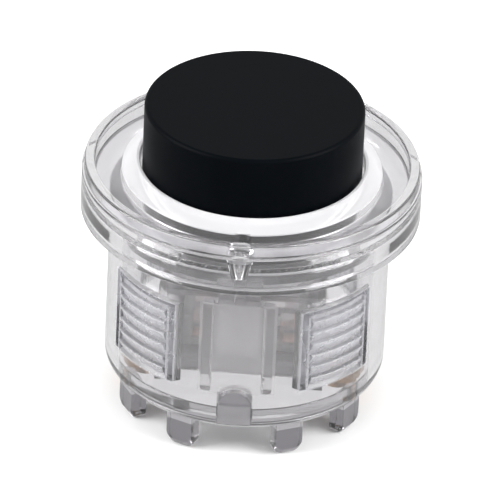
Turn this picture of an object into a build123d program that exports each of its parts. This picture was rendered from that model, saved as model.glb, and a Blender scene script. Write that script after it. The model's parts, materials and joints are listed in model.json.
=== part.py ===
from build123d import *
import math
import os

# Snap-in push button for a round hole in a control panel, sizes in millimetres.
# The origin is on the press axis in the plane of the bezel's underside, where the panel's face lies.
# +Z points out of the panel, towards the finger. The front of the button faces -Y.

os.makedirs("parts", exist_ok=True)

# ---------------------------------------------------------------- driving sizes

press_travel = 2.4
clearance = 0.05            # between moulded pieces that push together
stop_gap = 0.05             # left under each damping ring at either end of the travel

# bezel
bezel_overhang = 2.45       # beyond the barrel, over the panel
bezel_height = 4.5
lip_step = 0.23
lip_height = 0.9
lip_width = 0.85
trough_floor = 2.85
bezel_edge = 0.25

# collar round the cap
collar_width = 1.5
collar_rise = 0.1           # above the bezel's lip
collar_slope = 0.8
cap_gap = 0.2               # radial gap between the cap and the collar's bore

# barrel
barrel_radius = 11.8
barrel_wall = 1.2
barrel_depth = 14.3
corner_radius = 1.6
shoulder_height = 0.9       # underside of the collar, where the carrier is held back
shoulder_width = 1.2

# snap tabs, each a tongue left standing by a slit round three sides
tab_angle = 45.0
tab_span = 31.0
tab_slit = 0.5
tab_top = 3.7
tab_foot = 3.1              # between the tabs and the foot of the barrel
tab_relief = 0.25
tooth_rise = 0.45
tooth_start = 0.4           # smooth part of the tab above its first tooth
tooth_pitch = 1.1
tooth_land = 0.2            # flat left under each tooth

# guide ribs and arch slots at the front and back
rib_width = 0.85
rib_reach = 1.6
rib_gap = 0.35              # below the carrier's flange at full press
rib_foot_gap = 1.5          # above the floor
arch_width = 2.9
arch_height = 3.2

# moulding gate in the trough's floor
gate_radius = 1.1
gate_tip_radius = 0.6
gate_depth = 2.0

# base with its legs
base_height = 0.8           # below the barrel
floor_height = 1.2          # inside the barrel
leg_inset = 0.8
leg_depth = 1.4
leg_width = 2.4
leg_length = 2.85
leg_round = 0.7
leg_bevel = 0.45
front_leg_angle = 25.0
side_leg_angle = 60.0
key_depth = 1.9

# black switch base and clear cover
switch_base_height = 1.0
ear_width = 1.55
ear_length = 2.1
cover_wall = 0.7
cover_gap = 0.85            # between the contact holder and the cover
cover_round = 0.8

# terminals
plate_thickness = 0.5
plate_half_length = 5.3
plate_gap = 0.15            # between the plates and the switch
tab_width = 2.8
tab_inset = 1.35
tab_tip_gap = 0.35          # the tips end this far above the tips of the legs
arm_width = 2.4
rivet_radius = 0.5
rivet_head_radius = 0.9
rivet_head_height = 0.35
rivet_edge = 0.95           # from the inner edge of the plate
rivet_end = 1.9             # from the ends of the plate
rivet_leg_gap = 0.22        # at least, between the rivet heads and the legs

# contacts
blade_gap = 0.45            # between the blades and the stem's head
blade_thickness = 0.35
blade_height = 2.2
shelf_length = 1.4
point_radius = 0.55
point_height = 0.3
contact_gap = 0.1           # left between the points at full press
bridge_end = 0.6            # beyond the contact points
bridge_gap = 0.3            # between the bridge and the holder's walls
bridge_width = 2.0
bridge_thickness = 0.3
holder_wall = 0.8
holder_plate = 0.6
holder_half_width = 2.2
holder_height = 2.8

# plunger
cap_proud = 5.4             # above the bezel's lip
cap_roof = 1.2
cap_wall = 1.0
cap_edge = 0.35
skirt_gap = 0.65            # between the cap's skirt and the carrier's flange
flange_thickness = 1.0
flange_gap = 0.3            # radial gap between the carrier's flange and the barrel
carrier_tube_wall = 0.8
hub_wall = 0.8
hub_gap = 0.3               # round the hub in the cover
arm_half_width = 1.7
arm_thickness = 1.0
arm_side_gap = 0.3          # between the arms and the ribs
arm_end_gap = 0.65          # above the keys at full press
arm_rib_width = 0.9
arm_rib_depth = 0.6

# stem, springs and damping rings
stem_radius = 1.9
stem_wall = 0.45
stem_head_step = 0.6
stem_head_height = 0.6
stem_seat = 2.0             # depth of the stem's top below the origin
stem_roof = 0.8
spring_gap = 0.225          # between the spring and the stem's bore
spring_wire = 0.35
spring_turns = 9
spring_post_gap = 0.175
spring_post_height = 1.3
damper_thickness = 0.3
damper_width = 0.95
lower_damper_inset = 0.9    # from the hub
lower_damper_width = 2.0
lower_damper_height = 1.3

# ---------------------------------------------------------------- sizes that follow

inner_radius = barrel_radius - barrel_wall
bore_radius = inner_radius - shoulder_width
collar_radius = bore_radius + collar_width
collar_top = bezel_height + collar_rise
collar_edge = collar_top - collar_slope
bezel_radius = barrel_radius + bezel_overhang
lip_radius = bezel_radius - lip_step
rim_inner = lip_radius - lip_width
floor_top = -(barrel_depth - floor_height)
base_bottom = -(barrel_depth + base_height)
corner_centre_z = base_bottom + corner_radius
corner_centre_r = barrel_radius - corner_radius
split_radius = corner_centre_r + math.sqrt(corner_radius**2 - (corner_centre_z + barrel_depth) ** 2)
leg_radius = barrel_radius - leg_inset
leg_tip = base_bottom - leg_length

tab_bottom = barrel_depth - tab_foot
first_tooth = tab_top + tab_slit + tooth_start
tooth_count = int((tab_bottom - first_tooth) / tooth_pitch)

flange_top = shoulder_height - damper_thickness - stop_gap
flange_bottom = flange_top - flange_thickness
flange_radius = inner_radius - flange_gap
pressed_flange = flange_bottom - press_travel
cap_radius = bore_radius - cap_gap
cap_top = bezel_height + cap_proud
skirt_bottom = flange_top + skirt_gap
tube_radius = cap_radius - cap_wall - 2 * clearance
tube_top = cap_top - cap_roof
cover_top = -(pressed_flange - stop_gap - lower_damper_height)

rib_inner = arm_half_width + arm_side_gap
rib_top = -(pressed_flange - rib_gap)
rib_bottom = -(floor_top + rib_foot_gap)
key_height = arch_height - clearance
arm_bottom = barrel_depth - key_height - arm_end_gap - press_travel

# the switch is laid out from the stem outwards
stem_head_radius = stem_radius + stem_head_step
hub_radius = stem_radius + hub_wall
lower_damper_inner = hub_radius + lower_damper_inset
spring_radius = stem_radius - stem_wall - spring_gap - spring_wire / 2
spring_post_radius = spring_radius - spring_wire / 2 - spring_post_gap
blade_inside = stem_head_radius + blade_gap
contact_x = blade_inside + point_radius
bridge_half_length = contact_x + bridge_end
holder_inside = bridge_half_length + bridge_gap
holder_outside = holder_inside + holder_wall
switch_half_side = holder_outside + cover_gap + cover_wall
plate_start = switch_half_side + plate_gap
tab_centre = inner_radius - tab_inset
rivet_x = plate_start + rivet_edge
# nearest corner of the side legs, which the rivet heads keep clear of
leg_heading = math.radians(side_leg_angle)
leg_inner = leg_radius - leg_depth
leg_corner_x = leg_inner * math.sin(leg_heading) + leg_width / 2 * math.cos(leg_heading)
leg_corner_y = leg_inner * math.cos(leg_heading) - leg_width / 2 * math.sin(leg_heading)
rivet_reach = rivet_head_radius + rivet_leg_gap
rivet_lane = math.sqrt(max(0, rivet_reach**2 - (leg_corner_x - rivet_x) ** 2))
rivet_y = min(plate_half_length - rivet_end, leg_corner_y - rivet_lane)

switch_base_top = floor_top + switch_base_height
plate_top = floor_top + plate_thickness
blade_top = plate_top + blade_height
fixed_point_top = blade_top + point_height
moving_point_bottom = fixed_point_top + press_travel + contact_gap
bridge_bottom = moving_point_bottom + point_height
bridge_top = bridge_bottom + bridge_thickness
hub_bottom = bridge_top + clearance
stem_bottom = bridge_bottom - stem_head_height
stem_ceiling = -stem_seat - stem_roof
front_angles = (0, 180)
tab_angles = (tab_angle, 180 - tab_angle, 180 + tab_angle, -tab_angle)
leg_angles = [
    sign * angle
    for sign in (1, -1)
    for angle in (front_leg_angle, side_leg_angle, 180 - side_leg_angle, 180 - front_leg_angle)
]


def radial_plane(angle):
    """Plane through the press axis, x pointing outwards at this angle from the front, y pointing up."""
    heading = math.radians(angle - 90)
    outward = (math.cos(heading), math.sin(heading), 0)
    return Plane(origin=(0, 0, 0), x_dir=outward, z_dir=(math.sin(heading), -math.cos(heading), 0))


def facing_plane(angle, distance):
    """Upright plane at this distance from the press axis, facing outwards at this angle from the front."""
    heading = math.radians(angle - 90)
    outward = Vector(math.cos(heading), math.sin(heading), 0)
    return Plane(origin=outward * distance, x_dir=(-math.sin(heading), math.cos(heading), 0), z_dir=outward)


def arch(width, height, bottom):
    """Upright slot shape with a round top, standing on the height called bottom."""
    straight = height - width / 2
    Polyline((-width / 2, bottom + straight), (-width / 2, bottom), (width / 2, bottom),
             (width / 2, bottom + straight))
    CenterArc((0, bottom + straight), width / 2, 0, 180)


# ---------------------------------------------------------------- housing

with BuildPart() as housing:
    with BuildSketch(Plane.XZ):
        with BuildLine():
            Polyline(
                (bore_radius, shoulder_height),
                (bore_radius, collar_top),
                (bore_radius + 0.3, collar_top),
                (collar_radius, collar_edge),
                (collar_radius, trough_floor),
                (rim_inner, trough_floor),
                (rim_inner, bezel_height),
                (lip_radius - bezel_edge, bezel_height),
                (lip_radius, bezel_height - bezel_edge),
                (lip_radius, bezel_height - lip_height),
                (bezel_radius - bezel_edge / 2, bezel_height - lip_height),
                (bezel_radius, bezel_height - lip_height - bezel_edge / 2),
                (bezel_radius, bezel_edge),
                (bezel_radius - bezel_edge, 0),
                (barrel_radius, 0),
                (barrel_radius, corner_centre_z),
            )
            RadiusArc((barrel_radius, corner_centre_z), (split_radius, -barrel_depth), corner_radius)
            Polyline(
                (split_radius, -barrel_depth),
                (inner_radius, -barrel_depth),
                (inner_radius, shoulder_height),
                (bore_radius, shoulder_height),
            )
        make_face()
    revolve(axis=Axis.Z)

    # a tongue with a slit on both sides and over its top, held at its foot
    tab_half_width = barrel_radius * math.sin(math.radians(tab_span / 2))
    tab_middle = -(tab_top + tab_bottom) / 2
    for angle in tab_angles:
        with BuildSketch(facing_plane(angle, inner_radius)):
            with Locations((0, tab_middle)):
                Rectangle(2 * (tab_half_width + tab_slit), tab_bottom - tab_top)
            with Locations((0, tab_middle - tab_slit)):
                Rectangle(2 * tab_half_width, tab_bottom - tab_top, mode=Mode.SUBTRACT)
        extrude(amount=2 * barrel_wall, both=True, mode=Mode.SUBTRACT)

    # the tongue's face steps back and carries saw teeth that hold the panel from behind
    tongue_radius = barrel_radius - tab_relief
    for angle in tab_angles:
        with BuildSketch(radial_plane(angle - tab_span / 2 + 1)):
            with BuildLine():
                Polyline(
                    (tongue_radius, -tab_top),
                    (barrel_radius + 1, -tab_top),
                    (barrel_radius + 1, -tab_bottom),
                    (barrel_radius, -tab_bottom),
                    (tongue_radius, -tab_bottom + tab_relief),
                    (tongue_radius, -tab_top),
                )
            make_face()
        revolve(axis=Axis.Z, revolution_arc=tab_span - 2, mode=Mode.SUBTRACT)
        with BuildSketch(radial_plane(angle - tab_span / 2 + 2)):
            for tooth in range(tooth_count):
                tooth_top = -first_tooth - tooth * tooth_pitch
                with BuildLine():
                    Polyline(
                        (tongue_radius - 0.2, tooth_top),
                        (tongue_radius + tooth_rise, tooth_top),
                        (tongue_radius, tooth_top - tooth_pitch + tooth_land),
                        (tongue_radius - 0.2, tooth_top - tooth_pitch + tooth_land),
                        (tongue_radius - 0.2, tooth_top),
                    )
                make_face()
        revolve(axis=Axis.Z, revolution_arc=tab_span - 4)

    # two pairs of ribs guide the carrier's arms
    with BuildSketch(Plane.XY.offset(-rib_bottom)):
        rib_out = inner_radius + barrel_wall / 4
        for side in (-1, 1):
            for end in (-1, 1):
                with Locations((side * (rib_inner + rib_width / 2), end * (rib_out - rib_reach / 2))):
                    Rectangle(rib_width, rib_reach)
    extrude(amount=rib_bottom - rib_top)

    # arch slots for the keys of the base
    for angle in front_angles:
        with BuildSketch(facing_plane(angle, barrel_radius)):
            with BuildLine():
                arch(arch_width, arch_height + 1, -barrel_depth - 1)
            make_face()
        extrude(amount=-2 * barrel_wall, mode=Mode.SUBTRACT)

    # the moulding gate, a cone sunk in the floor of the trough
    gate_distance = (collar_radius + rim_inner) / 2
    with Locations((0, -gate_distance, trough_floor - gate_depth / 2)):
        Cone(gate_tip_radius, gate_radius, gate_depth, mode=Mode.SUBTRACT)

housing.part.label = "housing"
export_step(housing.part, "parts/housing.step")

# ---------------------------------------------------------------- base with eight legs

with BuildPart() as leg:
    with BuildSketch(Plane.XZ):
        with BuildLine():
            Polyline(
                (leg_radius - leg_depth, -barrel_depth),
                (leg_radius, -barrel_depth),
                (leg_radius, leg_tip + 1.4 * leg_bevel),
                (leg_radius - leg_bevel, leg_tip),
                (leg_radius - leg_depth, leg_tip),
                (leg_radius - leg_depth, -barrel_depth),
            )
        make_face()
    extrude(amount=leg_width / 2, both=True)
    with BuildSketch(Plane.YZ):
        with Locations((0, (leg_tip + floor_top) / 2)):
            Rectangle(leg_width, floor_top - leg_tip)
        fillet(vertices().group_by(Axis.Y)[0], leg_round)
    extrude(amount=leg_radius + 1, mode=Mode.INTERSECT)

with BuildPart() as base:
    # two arch-shaped keys that fill the slots in the barrel
    for angle in front_angles:
        with BuildSketch(facing_plane(angle, barrel_radius - key_depth)):
            with BuildLine():
                arch(arch_width - 2 * clearance, key_height, -barrel_depth)
            make_face()
        extrude(amount=key_depth + 1)
    with Locations((0, 0, -barrel_depth)):
        Cylinder(barrel_radius - clearance, 4 * arch_height, mode=Mode.INTERSECT)
    # floor inside the barrel and the round corner that carries on from it
    with BuildSketch(Plane.XZ):
        with BuildLine():
            Polyline(
                (0, base_bottom),
                (0, floor_top),
                (inner_radius - clearance, floor_top),
                (inner_radius - clearance, -barrel_depth),
                (split_radius, -barrel_depth),
            )
            RadiusArc((split_radius, -barrel_depth), (corner_centre_r, base_bottom), corner_radius)
            Line((corner_centre_r, base_bottom), (0, base_bottom))
        make_face()
    revolve(axis=Axis.Z)
    for angle in leg_angles:
        add(leg.part.rotate(Axis.Z, angle - 90))
    # slots for the terminals and holes for their rivets
    for side in (-1, 1):
        with Locations((side * tab_centre, 0, floor_top)):
            Box(
                plate_thickness + 2 * clearance, tab_width + 2 * clearance, 6,
                mode=Mode.SUBTRACT,
            )
    with Locations(*[(x, y, floor_top) for x in (-rivet_x, rivet_x) for y in (-rivet_y, rivet_y)]):
        Cylinder(rivet_radius + clearance, 6, mode=Mode.SUBTRACT)

base.part.label = "base"
export_step(base.part, "parts/base.step")

# ---------------------------------------------------------------- switch base and cover

with BuildPart() as switch_base:
    # square plate with a wide notch at the front and back, which leaves an ear at each corner
    with BuildSketch(Plane.XY.offset(floor_top)):
        Rectangle(2 * switch_half_side, 2 * switch_half_side)
        for end in (-1, 1):
            with Locations((0, end * switch_half_side)):
                Rectangle(2 * (switch_half_side - ear_width), 2 * ear_length, mode=Mode.SUBTRACT)
    extrude(amount=switch_base_height)
    with Locations((0, 0, switch_base_top + spring_post_height / 2)):
        Cylinder(spring_post_radius, spring_post_height)
    # channels for the arms of the terminals, open above the contact blades
    for side in (-1, 1):
        with Locations((side * (blade_inside + switch_half_side) / 2, 0, floor_top + plate_thickness / 2)):
            Box(
                switch_half_side - blade_inside + 2 * clearance, arm_width + 2 * clearance,
                plate_thickness + 2 * clearance, mode=Mode.SUBTRACT,
            )
        with Locations((side * (contact_x + shelf_length / 2), 0, floor_top + switch_base_height)):
            Box(
                2 * shelf_length, arm_width + 2 * clearance, 2 * switch_base_height,
                mode=Mode.SUBTRACT,
            )

switch_base.part.label = "switch_base"
export_step(switch_base.part, "parts/switch_base.step")

with BuildPart() as switch_cover:
    cover_height = -cover_top - switch_base_top
    with BuildSketch(Plane.XY.offset(switch_base_top)):
        RectangleRounded(2 * switch_half_side, 2 * switch_half_side, cover_round)
    extrude(amount=cover_height)
    inner_side = 2 * (switch_half_side - cover_wall)
    with BuildSketch(Plane.XY.offset(switch_base_top)):
        Rectangle(inner_side, inner_side)
    extrude(amount=cover_height - cover_wall, mode=Mode.SUBTRACT)
    with Locations((0, 0, -cover_top)):
        Cylinder(hub_radius + hub_gap, 4 * cover_wall, mode=Mode.SUBTRACT)

switch_cover.part.label = "switch_cover"
export_step(switch_cover.part, "parts/switch_cover.step")

# pale frame that stands on the switch base and holds the contact blades upright
with BuildPart() as contact_holder:
    with BuildSketch(Plane.XY.offset(switch_base_top)):
        Rectangle(2 * holder_outside, 2 * holder_half_width)
        Rectangle(2 * holder_inside, 2 * (stem_head_radius - holder_wall), mode=Mode.SUBTRACT)
    extrude(amount=holder_plate)
    with BuildSketch(Plane.XY.offset(switch_base_top)):
        for side in (-1, 1):
            with Locations((side * (holder_inside + holder_wall / 2), 0)):
                Rectangle(holder_wall, 2 * holder_half_width)
    extrude(amount=holder_height)

contact_holder.part.label = "contact_holder"
export_step(contact_holder.part, "parts/contact_holder.step")

# ---------------------------------------------------------------- terminals and contacts

for side, name in ((-1, "left"), (1, "right")):
    with BuildPart() as terminal:
        # a plate along the barrel's wall, with an arm towards the contacts and a tab through the base
        with BuildSketch(Plane.XY.offset(floor_top)):
            Circle(inner_radius - flange_gap)
            with Locations((side * (plate_start + inner_radius / 2), 0)):
                Rectangle(inner_radius, 2 * plate_half_length, mode=Mode.INTERSECT)
            with Locations((side * (blade_inside + rivet_x) / 2, 0)):
                Rectangle(rivet_x - blade_inside, arm_width)
        extrude(amount=plate_thickness)
        tab_tip = leg_tip + tab_tip_gap
        with Locations((side * tab_centre, 0, (plate_top + tab_tip) / 2)):
            Box(plate_thickness, tab_width, plate_top - tab_tip)
        chamfer(edges().filter_by(Axis.Y).group_by(Axis.Z)[0], 0.15)
        with Locations(*[(side * rivet_x, y, plate_top) for y in (-rivet_y, rivet_y)]):
            Hole(rivet_radius + clearance, 2 * plate_thickness)
    terminal.part.label = f"terminal_{name}"
    export_step(terminal.part, f"parts/terminal_{name}.step")

    with BuildPart() as blade:
        # foot on the terminal's arm, upright, and a shelf under the contact point
        with BuildSketch(Plane.XZ):
            with BuildLine():
                Polyline(
                    (side * blade_inside, plate_top),
                    (side * blade_inside, blade_top),
                    (side * (blade_inside + shelf_length), blade_top),
                    (side * (blade_inside + shelf_length), blade_top - blade_thickness),
                    (side * (blade_inside + blade_thickness), blade_top - blade_thickness),
                    (side * (blade_inside + blade_thickness), plate_top + blade_thickness),
                    (side * (blade_inside + shelf_length), plate_top + blade_thickness),
                    (side * (blade_inside + shelf_length), plate_top),
                    (side * blade_inside, plate_top),
                )
            make_face()
        extrude(amount=bridge_width / 2, both=True)
    blade.part.label = f"contact_blade_{name}"
    export_step(blade.part, f"parts/contact_blade_{name}.step")

    with BuildPart() as fixed_point:
        with Locations((side * contact_x, 0, blade_top + point_height / 2)):
            Cylinder(point_radius, point_height)
    fixed_point.part.label = f"fixed_contact_{name}"
    export_step(fixed_point.part, f"parts/fixed_contact_{name}.step")

    with BuildPart() as moving_point:
        with Locations((side * contact_x, 0, bridge_bottom - point_height / 2)):
            Cylinder(point_radius, point_height)
    moving_point.part.label = f"moving_contact_{name}"
    export_step(moving_point.part, f"parts/moving_contact_{name}.step")

with BuildPart() as terminal_rivets:
    shank = plate_top - base_bottom
    for x in (-rivet_x, rivet_x):
        for y in (-rivet_y, rivet_y):
            with Locations((x, y, base_bottom + shank / 2)):
                Cylinder(rivet_radius, shank)
            with Locations((x, y, plate_top + rivet_head_height / 2)):
                Cylinder(rivet_head_radius, rivet_head_height)
            with Locations((x, y, base_bottom - rivet_head_height / 2)):
                Cylinder(rivet_head_radius, rivet_head_height)

terminal_rivets.part.label = "terminal_rivets"
export_step(terminal_rivets.part, "parts/terminal_rivets.step")

with BuildPart() as contact_bridge:
    with BuildSketch(Plane.XY.offset(bridge_bottom)):
        Rectangle(2 * bridge_half_length, bridge_width)
        Circle(stem_head_radius)
        Circle(stem_radius + clearance, mode=Mode.SUBTRACT)
    extrude(amount=bridge_thickness)

contact_bridge.part.label = "contact_bridge"
export_step(contact_bridge.part, "parts/contact_bridge.step")

# ---------------------------------------------------------------- plunger

with BuildPart() as cap:
    with BuildSketch(Plane.XZ):
        with BuildLine():
            Polyline(
                (0, tube_top),
                (0, cap_top),
                (cap_radius, cap_top),
                (cap_radius, skirt_bottom),
                (cap_radius - cap_wall, skirt_bottom),
                (cap_radius - cap_wall, tube_top),
                (0, tube_top),
            )
        make_face()
        fillet(vertices().group_by(Axis.Y)[-1].sort_by(Axis.X)[-1], cap_edge)
    revolve(axis=Axis.Z)

cap.part.label = "cap"
export_step(cap.part, "parts/cap.step")

with BuildPart() as carrier:
    # tube inside the cap, flange behind the collar and hub towards the switch
    with BuildSketch(Plane.XZ):
        with BuildLine():
            Polyline(
                (0, flange_top),
                (tube_radius - carrier_tube_wall, flange_top),
                (tube_radius - carrier_tube_wall, tube_top),
                (tube_radius, tube_top),
                (tube_radius, flange_top),
                (flange_radius, flange_top),
                (flange_radius, flange_bottom),
                (hub_radius, flange_bottom),
                (hub_radius, hub_bottom),
                (stem_radius, hub_bottom),
                (stem_radius, -stem_seat),
                (0, -stem_seat),
                (0, flange_top),
            )
        make_face()
    revolve(axis=Axis.Z)
    # arms that run between the ribs, each with a stiffening rib on its inner face
    with BuildSketch(Plane.XY.offset(-arm_bottom)):
        for end in (-1, 1):
            with Locations((0, end * (flange_radius - arm_thickness / 2))):
                Rectangle(2 * arm_half_width, arm_thickness)
            with Locations((0, end * (flange_radius - arm_thickness - arm_rib_depth / 2))):
                Rectangle(arm_rib_width, arm_rib_depth)
    extrude(amount=arm_bottom + flange_bottom + flange_thickness / 2)

carrier.part.label = "carrier"
export_step(carrier.part, "parts/carrier.step")

with BuildPart() as stem:
    with BuildSketch(Plane.XZ):
        with BuildLine():
            Polyline(
                (0, -stem_seat),
                (stem_radius, -stem_seat),
                (stem_radius, bridge_bottom),
                (stem_head_radius, bridge_bottom),
                (stem_head_radius, stem_bottom),
                (stem_radius - stem_wall, stem_bottom),
                (stem_radius - stem_wall, stem_ceiling),
                (0, stem_ceiling),
                (0, -stem_seat),
            )
        make_face()
    revolve(axis=Axis.Z)

stem.part.label = "stem"
export_step(stem.part, "parts/stem.step")

# ---------------------------------------------------------------- spring and damping rings

with BuildPart() as return_spring:
    spring_foot = switch_base_top + spring_wire / 2
    spring_height = stem_ceiling - switch_base_top - spring_wire
    with BuildLine():
        Helix(spring_height / spring_turns, spring_height, spring_radius, center=(0, 0, spring_foot))
    with BuildSketch(Plane(origin=(spring_radius, 0, spring_foot), z_dir=(0, 1, 0))):
        Circle(spring_wire / 2)
    sweep(is_frenet=True)

return_spring.part.label = "return_spring"
export_step(return_spring.part, "parts/return_spring.step")

with BuildPart() as upper_damper:
    with BuildSketch(Plane.XY.offset(shoulder_height)):
        Circle(inner_radius - clearance)
        Circle(inner_radius - clearance - damper_width, mode=Mode.SUBTRACT)
    extrude(amount=-damper_thickness)

upper_damper.part.label = "upper_damper"
export_step(upper_damper.part, "parts/upper_damper.step")

with BuildPart() as lower_damper:
    with BuildSketch(Plane.XY.offset(-cover_top)):
        Circle(lower_damper_inner + lower_damper_width)
        Circle(lower_damper_inner, mode=Mode.SUBTRACT)
    extrude(amount=lower_damper_height)

lower_damper.part.label = "lower_damper"
export_step(lower_damper.part, "parts/lower_damper.step")
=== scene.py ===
"""Looks of a clear snap-in push button: its finishes, its fine shapes and the studio it stands in."""

from __future__ import annotations

import json
import logging
import math
from dataclasses import dataclass, field
from enum import Enum
from typing import Any, Sequence

import bmesh
import bpy
from mathutils import Matrix, Vector

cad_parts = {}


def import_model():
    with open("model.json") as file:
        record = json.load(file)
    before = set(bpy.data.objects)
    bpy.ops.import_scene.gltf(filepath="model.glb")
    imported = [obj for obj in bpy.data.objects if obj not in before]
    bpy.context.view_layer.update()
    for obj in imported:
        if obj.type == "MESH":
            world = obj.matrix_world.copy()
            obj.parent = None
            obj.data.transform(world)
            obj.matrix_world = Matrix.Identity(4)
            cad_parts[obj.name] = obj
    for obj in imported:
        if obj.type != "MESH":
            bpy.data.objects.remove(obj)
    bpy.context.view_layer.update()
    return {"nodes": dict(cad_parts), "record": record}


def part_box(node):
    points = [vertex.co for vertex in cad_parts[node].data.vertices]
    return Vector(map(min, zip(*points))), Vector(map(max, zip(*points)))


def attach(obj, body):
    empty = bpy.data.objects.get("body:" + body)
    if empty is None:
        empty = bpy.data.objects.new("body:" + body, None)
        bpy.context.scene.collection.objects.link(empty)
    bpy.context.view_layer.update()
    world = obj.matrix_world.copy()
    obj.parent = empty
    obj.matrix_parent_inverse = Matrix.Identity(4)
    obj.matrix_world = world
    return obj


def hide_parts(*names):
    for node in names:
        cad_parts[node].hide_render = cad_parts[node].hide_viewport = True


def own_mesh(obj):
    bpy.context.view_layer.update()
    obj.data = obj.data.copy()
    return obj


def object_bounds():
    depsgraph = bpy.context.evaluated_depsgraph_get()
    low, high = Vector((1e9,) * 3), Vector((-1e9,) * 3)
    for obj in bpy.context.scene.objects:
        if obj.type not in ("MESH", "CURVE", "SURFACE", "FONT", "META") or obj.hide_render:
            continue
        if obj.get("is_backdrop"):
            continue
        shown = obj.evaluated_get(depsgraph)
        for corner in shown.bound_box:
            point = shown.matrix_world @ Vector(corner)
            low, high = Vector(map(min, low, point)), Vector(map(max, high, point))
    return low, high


log = logging.getLogger("push_button")

MM = 0.001
ROUND_STEPS = 6
TURN_STEPS = 192
SMOOTH_ANGLE = math.radians(32)

Solid = bpy.types.Object
Material = bpy.types.Material
Node = bpy.types.ShaderNode
Point = tuple[float, float]
Corner = tuple[float, float, float]
Value = Any


class Body(Enum):
    """The two rigid bodies of the button."""

    HOUSING = "body"
    PLUNGER = "plunger"


class Cut(Enum):
    """What one solid does to another."""

    ADD = "UNION"
    TAKE = "DIFFERENCE"
    KEEP = "INTERSECT"


# ---------------------------------------------------------------- node trees


class Link:
    """A socket, or a number, that can stand in an expression."""

    def __init__(self, graph: "Graph", source: Value) -> None:
        """Keep the graph and the socket or number."""
        self.graph = graph
        self.source = source

    def __add__(self, other: Value) -> "Link":
        """Add."""
        return self.graph.maths("ADD", self, other)

    __radd__ = __add__

    def __mul__(self, other: Value) -> "Link":
        """Multiply."""
        return self.graph.maths("MULTIPLY", self, other)

    __rmul__ = __mul__

    def __sub__(self, other: Value) -> "Link":
        """Subtract."""
        return self.graph.maths("SUBTRACT", self, other)

    def __rsub__(self, other: Value) -> "Link":
        """Subtract from a number."""
        return self.graph.maths("SUBTRACT", other, self)

    def clipped(self, low: float, high: float) -> "Link":
        """Keep the value between two limits."""
        return self.graph.maths("MINIMUM", self.graph.maths("MAXIMUM", self, low), high)

    def ramp(self, start: float, end: float) -> "Link":
        """Rise smoothly from 0 at start to 1 at end."""
        return self.graph.node(
            "ShaderNodeMapRange",
            {"interpolation_type": "SMOOTHSTEP"},
            {"Value": self, "From Min": start, "From Max": end},
        )


class Graph:
    """A node tree that is filled one node at a time."""

    def __init__(self, tree: bpy.types.NodeTree) -> None:
        """Keep the tree."""
        self.tree = tree

    def node(
        self,
        kind: str,
        settings: dict[str, Value] | None = None,
        inputs: dict[str | int, Value] | None = None,
        output: str | int = 0,
    ) -> Link:
        """Add a node.

        Args:
            kind: the node's type.
            settings: properties set first.
            inputs: values or links, by socket name or number.
            output: the socket that the result stands for.

        Returns:
            The chosen output, ready for an expression.
        """
        made = self.tree.nodes.new(kind)
        for key, value in (settings or {}).items():
            setattr(made, key, value)
        for key, value in (inputs or {}).items():
            self.feed(made.inputs[key], value)
        return Link(self, made.outputs[output])

    def feed(self, socket: bpy.types.NodeSocket, value: Value) -> None:
        """Set or link one socket."""
        source = value.source if isinstance(value, Link) else value
        if isinstance(source, bpy.types.NodeSocket):
            self.tree.links.new(source, socket)
        else:
            socket.default_value = source

    def mix(self, share: Value, first: Value, second: Value) -> Link:
        """Mix two colours.

        Args:
            share: how much of the second, from 0 to 1.
            first: a colour or a link to one.
            second: a colour or a link to one.

        Returns:
            The mixed colour.
        """
        mixed = self.node("ShaderNodeMix", {"data_type": "RGBA"}, {"Factor": share})
        made = mixed.source.node
        for socket, value in zip([s for s in made.inputs if s.type == "RGBA"], (first, second)):
            self.feed(socket, (*value, 1.0) if isinstance(value, tuple) else value)
        return Link(self, next(s for s in made.outputs if s.type == "RGBA"))

    def maths(self, operation: str, *values: Value) -> Link:
        """Add one Math node.

        Args:
            operation: the Math node's operation.
            values: its inputs in order, links or numbers.

        Returns:
            The node's result.
        """
        return self.node("ShaderNodeMath", {"operation": operation}, dict(enumerate(values)))

    def blend(self, material: Material, share: Value, first: Value, second: Value) -> None:
        """Mix two shaders and make them the material's surface.

        Args:
            material: the material.
            share: how much of the second, from 0 to 1.
            first: a shader.
            second: a shader.
        """
        mixed = self.node("ShaderNodeMixShader", {}, {0: share, 1: first, 2: second})
        self.feed(material.node_tree.nodes["Material Output"].inputs["Surface"], mixed)

    def place(self) -> Link:
        """Object coordinates."""
        return self.node("ShaderNodeTexCoord", output="Object")

    def noise(self, size: float, detail: float = 2.0, roughness: float = 0.5) -> Link:
        """Noise on object coordinates.

        Args:
            size: width of one blotch in millimetres.
            detail: number of finer layers.
            roughness: strength of the finer layers.

        Returns:
            The noise value, about 0 to 1.
        """
        return self.node(
            "ShaderNodeTexNoise",
            {"noise_dimensions": "3D"},
            {"Vector": self.place(), "Scale": 1 / (size * MM), "Detail": detail, "Roughness": roughness},
        )

    def bump(self, height: Value, depth: float, strength: float = 1.0) -> Link:
        """Turn a height into a normal.

        Args:
            height: the height, 0 to 1.
            depth: how high 1 is, in millimetres.
            strength: share of the effect.

        Returns:
            The normal.
        """
        return self.node(
            "ShaderNodeBump", {}, {"Height": height, "Distance": depth * MM, "Strength": strength}
        )


def cover_with(
    graph: Graph, shader: Node, colour: Value, roughness: Value, normal: Value
) -> None:
    """Give a shader its colour, roughness and normal."""
    for key, value in (("Base Color", colour), ("Roughness", roughness), ("Normal", normal)):
        graph.feed(shader.inputs[key], value)


def new_material(name: str) -> tuple[Material, Graph, Node]:
    """Start a material.

    Args:
        name: its name.

    Returns:
        The material, its graph and its Principled node.
    """
    material = bpy.data.materials.new(name)
    material.use_nodes = True
    graph = Graph(material.node_tree)
    shader = material.node_tree.nodes["Principled BSDF"]
    return material, graph, shader


# ---------------------------------------------------------------- finishes


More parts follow.
